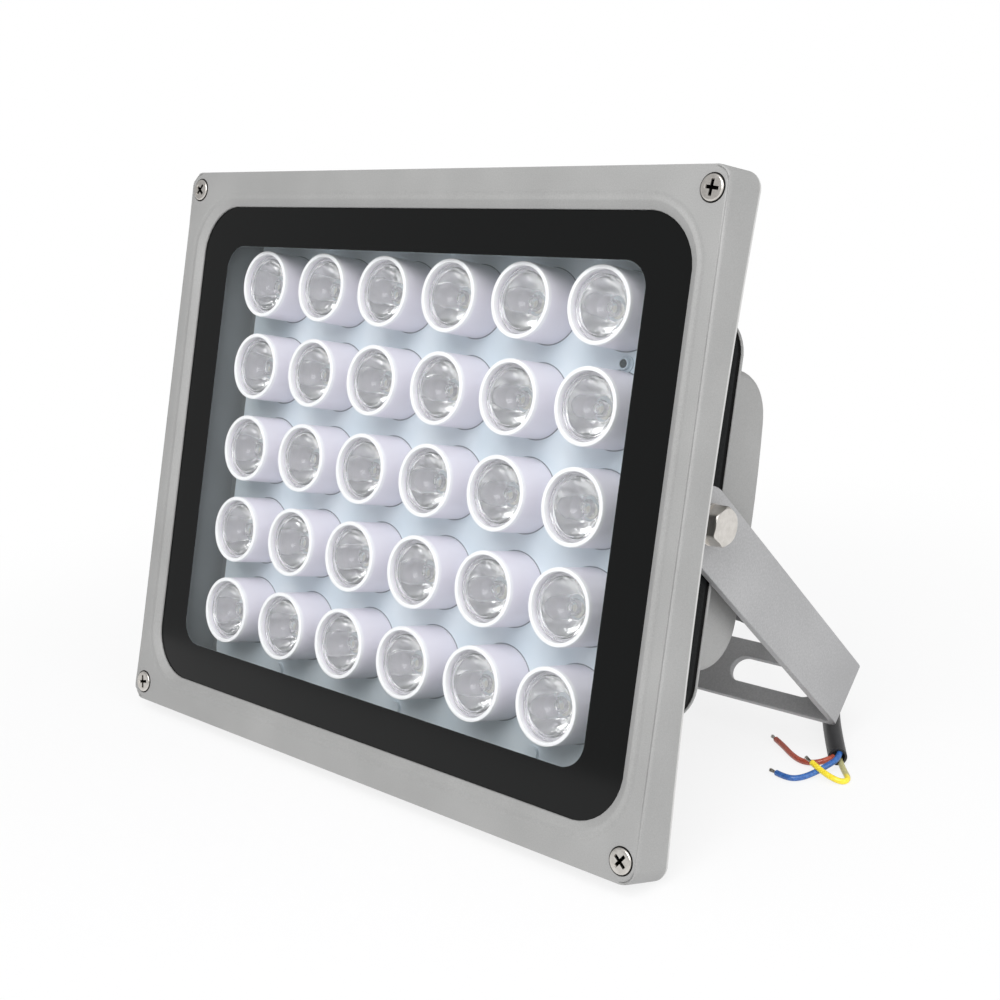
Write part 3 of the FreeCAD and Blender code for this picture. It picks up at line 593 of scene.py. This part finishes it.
# The pane is toughened glass, printed black round a clear window and sealed to the tray by a
# silicone ring behind its edge.
bm = bmesh.new()
solid(bm, (
    (130.1, 102.1, 22.3, 2.5), (130.4, 102.4, 22.6, 2.8), (130.4, 102.4, 22.6, 5.2), (130.1, 102.1, 22.3, 5.5)))
glass, shade = material("printed glass", IOR=1.5, Specular_IOR_Level=0.22)
place = in_head(shade)
centred = shade.node("ShaderNodeVectorMath", {"operation": "SUBTRACT"}, {0: place, 1: (-0.6, 0, -0.3)})
past = outside(shade, centred, 110.2, 83.5, 9.6)
front = 1 - place.part("Y").step(3.8, 4.2)
printed = past.step(-0.08, 0.08) * front
smear = shade.noise(place, 0.02, 2)
tint = printed.blend(color(214, 226, 230), color(11, 12, 12))
feed(glass, Base_Color=tint, Alpha=printed * 0.955 + 0.045, Roughness=0.03 + smear * 0.08)
pane = piece("glass_sheet", facing_out(bm), "head", glass, head_place)
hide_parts("glass_pane")


# Behind the glass stands a pale metal-backed board in the bare cast tray, with an emitter for
# each lens and a dark light sensor in a pale collar near the last column.
cast, shade = material("cast housing", Metallic=0.35)
place = in_head(shade)
grain = shade.noise(place, 1.5, 3, 0.6)
# Inside the tray the bare casting is darker than the coated outside, and it is painted darker still as shade
# under the glass's black border.
inner = (1 - outside(shade, place, 120.6, 99.1, 8.0).step(-0.1, 0.1)) * (1 - place.part("Y").step(25.6, 25.8))
coated = grain.step(0.3, 0.7).blend(color(150, 150, 146), color(186, 186, 182))
feed(cast, Base_Color=inner.blend(coated, color(124, 126, 127)), Roughness=0.42 + grain * 0.2)
feed(cast, Normal=grain.bump(0.5, 0.00012))
wear(cast, "led_housing")

column_step, row_step = 35.6, 33.9
field_middle = (-1.1, 0.9)
mask_paint, shade = material("board mask", Roughness=0.4, Coat_Weight=0.4, Coat_Roughness=0.25)
place = in_head(shade)
column = shade.math("WRAP", place.part("X") - field_middle[0], column_step, 0.0) - column_step / 2
row = shade.math("WRAP", place.part("Z") - field_middle[1] + row_step / 2, row_step, 0.0) - row_step / 2
round_lens = shade.math("SQRT", column * column + row * row)
beside = outside(shade, place, 106.5, 84.0, 8.0).step(0.0, 0.5)
# Painted contact shadow: a thin dark ring on the board round the foot of each cup.
contact_shadow = round_lens.step(13.3, 13.5) * (1 - round_lens.step(13.8, 14.2)) * (1 - beside)
haze = shade.noise(place, 0.05, 2)
paint = haze.step(0.3, 0.7).blend(color(214, 227, 235), color(227, 237, 243))
feed(mask_paint, Base_Color=(contact_shadow * 0.8).blend(paint, color(52, 56, 66)))
feed(mask_paint, Normal=shade.noise(place, 4.0, 2).bump(0.1, 0.00005))
wear(mask_paint, "led_board")

phosphor, shade = material("emitter", Roughness=0.35, Coat_Weight=0.5)
place = in_head(shade)
warm = shade.noise(place, 0.8, 2).step(0.3, 0.7).blend(color(228, 226, 214), color(240, 238, 228))
feed(phosphor, Base_Color=warm)
wear(phosphor, "led_emitters")

eye, shade = material("light sensor", Roughness=0.4)
place = in_head(shade)
middle = shade.node("ShaderNodeVectorMath", {"operation": "SUBTRACT"}, {0: place, 1: (90.0, 0.0, 50.85)})
flat = shade.node("ShaderNodeVectorMath", {"operation": "MULTIPLY"}, {0: middle, 1: (1, 0, 1)})
away = shade.node("ShaderNodeVectorMath", {"operation": "LENGTH"}, {0: flat}, "Value")
feed(eye, Base_Color=away.step(1.5, 1.6).blend(color(6, 10, 16), color(196, 209, 218)))
wear(eye, "light_sensor")
wear(mask_paint, "board_screws")
wear(plated, "driver_screws", "cover_screws")


# Thirty white moulded cups stand on the board, five rows of six, and each holds a clear
# moulded lens: a flanged collimator with a dished face and a hollow over its emitter.
lens_middles = [((column - 2.5) * column_step + field_middle[0], (2 - row) * row_step + field_middle[1])
                for row in range(5) for column in range(6)]
cup_profile = (
    (13.6, 23.1), (13.5, 6.6), (13.35, 6.25), (13.1, 6.1), (12.3, 6.1), (12.05, 6.2), (11.9, 6.5), (11.8, 9.95),
    (10.8, 10.0), (10.2, 12.0), (9.3, 14.5), (8.2, 17.0), (6.9, 19.8), (5.9, 21.6), (5.2, 23.1))
lens_profile = (
    (0.15, 11.5), (1.2, 11.4), (2.4, 10.9), (3.3, 9.95), (3.7, 9.75), (4.2, 9.9), (6.2, 9.6), (8.4, 9.2),
    (9.75, 8.9), (9.95, 8.5), (10.3, 8.4), (10.6, 8.6), (10.9, 8.6), (11.2, 8.3), (11.5, 8.3), (11.7, 8.5),
    (11.7, 9.9), (10.45, 9.9), (9.85, 12.0), (8.95, 14.5), (7.85, 17.0), (6.5, 19.8), (5.2, 21.4),
    (3.5, 21.4), (3.2, 17.0), (2.8, 16.0), (1.9, 15.2), (0.9, 14.8), (0.15, 14.75))


def at_each_lens(bm):
    """Repeats a mesh drawn on the head's middle line at every lens."""
    one = bpy.data.meshes.new("one")
    bm.to_mesh(one)
    bm.clear()
    for x, z in lens_middles:
        known = len(bm.verts)
        bm.from_mesh(one)
        bmesh.ops.translate(bm, verts=bm.verts[known:], vec=(x, 0, z))
    bpy.data.meshes.remove(one)
    return bm


bm = bmesh.new()
band(bm, cup_profile)
ivory, shade = material("white moulding", Roughness=0.35, Coat_Weight=0.2)
place = in_head(shade)
haze = shade.noise(place, 0.3, 2)
# Painted light and shade: the front rim is painted whiter where it faces the light, and the sides are lilac and
# painted darker as shaded.
lit_white_rim = haze.step(0.3, 0.7).blend(color(246, 246, 248), color(251, 251, 252))
lit_rim_shaded_sides = place.part("Y").step(6.6, 8.5).blend(lit_white_rim, color(232, 228, 237))
feed(ivory, Base_Color=lit_rim_shaded_sides, Normal=shade.noise(place, 2.5, 2).bump(0.1, 0.00008))
cups = piece("lens_cups", at_each_lens(facing_out(bm)), "head", ivory, head_place)
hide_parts("lens_holders")

bm = bmesh.new()
solid(bm, lens_profile, quarter=12)
acrylic, shade = material("clear acrylic", Transmission_Weight=0.9, IOR=1.49)
place = in_head(shade)
ripple = shade.noise(place, 0.25, 2)
feed(acrylic, Base_Color=ripple.step(0.2, 0.8).blend((0.97, 0.975, 0.98, 1), (1, 1, 1, 1)))
feed(acrylic, Roughness=0.01 + ripple * 0.02, Normal=ripple.bump(0.12, 0.0003))
lenses = piece("clear_lenses", at_each_lens(facing_out(bm)), "head", acrylic, head_place, sharp=50)
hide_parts(*["lens_%d_%d" % (row, column) for row in range(1, 6) for column in range(1, 7)])


# The driver stands in its own box behind the tray: a black rubber gasket, then a die-cast
# cover with a flange, a crowned back and low ribs, all under six pan-head screws.
cover_rise = 2.0
loaf_half_length = 121.0
bm = bmesh.new()
band(bm, (
    (126.0, 69.8, 14.8, 30.3), (126.2, 70.0, 15.0, 30.6), (126.2, 70.0, 15.0, 34.5), (126.0, 69.8, 14.8, 34.8),
    (125.8, 69.6, 14.6, 34.9), (125.8, 69.6, 14.6, 36.9), (118.0, 48.0, 12.0, 36.9), (118.0, 48.0, 12.0, 30.3)),
    (0.0, cover_rise))
rubber, shade = material("black rubber", Specular_IOR_Level=0.08)
place = in_head(shade)
grain = shade.noise(place, 1.2, 3)
# Painted shade: from 34.8 mm back, where the gasket's groove starts, the rubber is painted near black.
groove_shade = place.part("Y").step(34.6, 34.8)
molded = grain.step(0.3, 0.7).blend(color(14, 15, 16), color(30, 31, 32))
feed(rubber, Base_Color=groove_shade.blend(molded, color(3, 3, 3)))
feed(rubber, Roughness=0.42 + grain * 0.25, Normal=grain.bump(0.3, 0.0002))
gasket = piece("rubber_gasket", facing_out(bm), "head", rubber, head_place)
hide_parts("driver_gasket")
wear(rubber, "glass_gasket", "gland_seal")

bm = bmesh.new()
loaf_outline = ((38, -51.5), (66.4, -51.5), (66.4, 51.5), (38, 51.5))
loaf_end = [bm.verts.new((-loaf_half_length, depth, cover_rise + rise)) for depth, rise in loaf_outline]
bm.faces.new(loaf_end)
bmesh.ops.bevel(bm, geom=loaf_end[1:3], offset=17.0, affect="VERTICES", segments=10, profile=0.5, material=-1)
end_face = min(bm.faces, key=lambda face: face.calc_center_median().x)
back_edge = max(end_face.edges, key=lambda edge: edge.verts[0].co.y + edge.verts[1].co.y)
bmesh.ops.subdivide_edges(bm, edges=[back_edge], cuts=7)
for vertex in end_face.verts:
    if vertex.co.y > 52:
        vertex.co.y -= 1.8 * min(1.0, ((vertex.co.z - cover_rise) / 36.0) ** 2)
drawn = bmesh.ops.extrude_face_region(bm, geom=[end_face])["geom"]
other_end = [item for item in drawn if isinstance(item, bmesh.types.BMVert)]
bmesh.ops.translate(bm, verts=other_end, vec=(2 * loaf_half_length, 0, 0))
rims = [edge for edge in bm.edges if edge.verts[0].co.x == edge.verts[1].co.x
        and max(vertex.co.y for vertex in edge.verts) > 38.2]
bmesh.ops.bevel(bm, geom=rims, offset=2.5, affect="EDGES", segments=4, profile=0.5, material=-1)
solid(bm, (
    (126.0, 69.8, 14.8, 36.9), (126.2, 70.0, 15.0, 37.1), (126.2, 70.0, 15.0, 38.0), (125.8, 69.6, 14.6, 38.4)),
    (0.0, cover_rise))
for index in range(13):
    rib = bmesh.ops.create_cube(bm, size=1.0)["verts"]
    bmesh.ops.scale(bm, verts=rib, vec=(2.6, 6.0, 66.0))
    bmesh.ops.translate(bm, verts=rib, vec=((index - 6) * 12.0, 66.5, cover_rise))
    edges = [edge for edge in linked(rib) if min(vertex.co.y for vertex in edge.verts) > 69]
    bmesh.ops.bevel(bm, geom=edges, offset=0.7, affect="EDGES", segments=3, profile=0.5, material=-1)
gland_turn = bolt_line @ Matrix.Translation((96.0, 0, 0)) @ Matrix.Rotation(math.radians(-25), 4, "X")
boss = solid(bm, ((10.5, 34.0), (10.5, 51.4), (9.9, 52.0)))
bmesh.ops.transform(bm, matrix=gland_turn, verts=corners(edge for edges in boss for edge in edges))
cover = piece("cover_casting", facing_out(bm), "head", coat, head_place)
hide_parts("driver_cover")

case, shade = material("potted driver", Roughness=0.5)
place = in_head(shade)
mottled = shade.noise(place, 0.6, 3).step(0.3, 0.7)
feed(case, Base_Color=mottled.blend(color(40, 41, 42), color(58, 58, 60)))
wear(case, "led_driver")


# The cable gland is black nylon: a hexagon foot screwed into the cover's boss, and a domed
# nut with grips that squeezes a rubber sleeve round the cable.
nylon, shade = material("black nylon", Roughness=0.4)
place = in_head(shade)
grain = shade.noise(place, 1.0, 3)
black = grain.step(0.3, 0.7).blend(color(24, 24, 26), color(40, 40, 42))
feed(nylon, Base_Color=black, Roughness=0.36 + grain * 0.2, Normal=grain.bump(0.2, 0.0001))


def hexagonal(bm, across, depths, chamfer):
    """A hexagon bar whose outer corners are turned off to a cone at its last depth."""
    rings = solid(bm, [(1.0, depth) for depth in depths], quarter=15)
    for depth, edges in zip(depths, rings):
        limit = across / 2 - chamfer + (depths[-1] - depth) * 1.7 + 0.2
        for vertex in corners(edges):
            angle = math.atan2(vertex.co.z, vertex.co.x)
            flat = across / 2 / math.cos((angle + math.pi / 6) % (math.pi / 3) - math.pi / 6)
            reach = min(flat, max(limit, across / 2 - chamfer))
            vertex.co.x *= reach
            vertex.co.z *= reach


bm = bmesh.new()
hexagonal(bm, 20.0, (52.0, 55.6, 56.2, 56.6, 57.0), 0.6)
gland = piece("gland_foot", facing_out(bm), "head", nylon, head_place @ gland_turn)
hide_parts("gland_body")
bm = bmesh.new()
rings = solid(bm, ((8.9, 57.2), (9.4, 57.7), (9.4, 66.6), (9.1, 68.4), (8.2, 70.6), (6.8, 72.2), (5.4, 72.9),
                   (4.6, 73.0), (4.5, 70.4)), quarter=18)
for vertex in corners(rings[1] + rings[2]):
    if math.degrees(math.atan2(vertex.co.z, vertex.co.x)) % 30 < 11:
        vertex.co.x *= 0.94
        vertex.co.z *= 0.94
nut = piece("gland_cap", facing_out(bm), "head", nylon, head_place @ gland_turn)
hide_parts("gland_nut")
wear(sheath, "cable_entry")


# The head swings on two zinc-plated hexagon bolts, each with a split spring washer between
# its head and the bracket's arm.
for side, name in ((-1, "left"), (1, "right")):
    outward = bolt_line @ Matrix.Rotation(math.radians(-90 * side), 4, "Z")
    bm = bmesh.new()
    hexagonal(bm, 12.0, (132.1, 136.8, 137.05, 137.25, 137.4), 0.25)
    solid(bm, ((4.0, 119.5), (4.0, 132.2)))
    bolt = piece("swivel_bolt_" + name, facing_out(bm), "head", plated, head_place @ outward)
    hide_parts("pivot_bolt_" + name)
    bm = bmesh.new()
    section = [bm.verts.new((*corner, 0)) for corner in ((4.2, 130.1), (7.0, 130.1), (7.0, 132.1), (4.2, 132.1))]
    bm.faces.new(section)
    bmesh.ops.bevel(bm, geom=section, offset=0.3, affect="VERTICES", segments=2, profile=0.5, material=-1)
    bmesh.ops.spin(bm, geom=bm.verts[:] + bm.edges[:] + bm.faces[:], cent=(0, 0, 0), axis=(0, 1, 0),
                   angle=math.radians(350), steps=50)
    washer = piece("split_washer_" + name, facing_out(bm), "head", plated, head_place @ outward)
    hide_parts("spring_washer_" + name)


# The bracket is one strip of 3 mm steel, folded to a U and powder coated. Its round-ended arms
# turn on the swivel bolts; its base has two slots and a centre hole.
bm = bmesh.new()
base = [bm.verts.new((x, 125.1, z)) for x, z in ((125.5, 12.5), (-125.5, 12.5), (-125.5, -12.5), (125.5, -12.5))]
base_edges = [bm.edges.new(pair) for pair in zip(base, base[1:] + base[:1])]
slots = []
for side in (-1, 1):
    slots.append(loft(bm, ((20.0, 5.5, 5.5, 125.1), (22.5, 8.0, 8.0, 125.1)), (side * 96.6, 0.0))[-1])
fill(bm, base_edges, loft(bm, ((5.25, 125.1), (8.0, 125.1)))[-1], *slots)
for side in (-1, 1):
    arm = loft(bm, ((12.5, 80.0, 12.5, 128.4),), (0.0, -67.5))[0]
    eye_rim = loft(bm, ((4.3, 128.4), (8.5, 128.4)))
    arm_verts = corners(arm + eye_rim[0] + eye_rim[1])
    stand = Matrix(((0, side, 0, 0), (0, 0, -1, 0), (1, 0, 0, 0), (0, 0, 0, 1)))
    bmesh.ops.transform(bm, matrix=stand, verts=arm_verts)
    bmesh.ops.bisect_plane(bm, geom=corners(arm) + arm, dist=1e-5, plane_co=(0, 18.0, 0), plane_no=(0, 1, 0),
                           clear_outer=True)
    wires = [edge for edge in bm.edges if not edge.link_faces]
    ends = [vertex for vertex in bm.verts if vertex.link_edges and len(vertex.link_edges) == 1]
    last = bm.edges.new(ends)
    fill(bm, wires + [last], eye_rim[1])
    drawn = bmesh.ops.extrude_edge_only(bm, edges=[last])["geom"]
    last = next(item for item in drawn if isinstance(item, bmesh.types.BMEdge))
    bmesh.ops.translate(bm, verts=last.verts, vec=(0, 104.2, 0))
    bmesh.ops.spin(bm, geom=[*last.verts, last], cent=(side * 125.5, 122.2, 0), axis=(0, 0, 1),
                   angle=math.radians(90 * side), steps=6)
bmesh.ops.remove_doubles(bm, verts=bm.verts, dist=0.02)
enamel, shade = material("bracket powder coat", Metallic=0.3)
place = shade.node("ShaderNodeTexCoord", output="Object")
grain = shade.noise(place, 1400, 3, 0.6)
clouds = shade.noise(place, 22, 2)
speckle = (grain * 0.6 + clouds * 0.4).step(0.34, 0.68)
painted = speckle.blend(color(166, 166, 167), color(186, 186, 187))
feed(enamel, Base_Color=painted, Roughness=0.4 + grain * 0.2, Normal=grain.bump(0.4, 0.0001))
strip = piece("folded_bracket", facing_out(bm), "bracket", enamel, hung(46))
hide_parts("bracket")
strip.modifiers.clear()
thick = strip.modifiers.new("thickness", "SOLIDIFY")
thick.thickness = 0.003
thick.offset = 0.0
thick.use_even_offset = True
edge_round = strip.modifiers.new("edges", "BEVEL")
edge_round.width = 0.0004
edge_round.segments = 3
strip.modifiers.new("flat faces stay flat", "WEIGHTED_NORMAL")

bpy.context.view_layer.update()
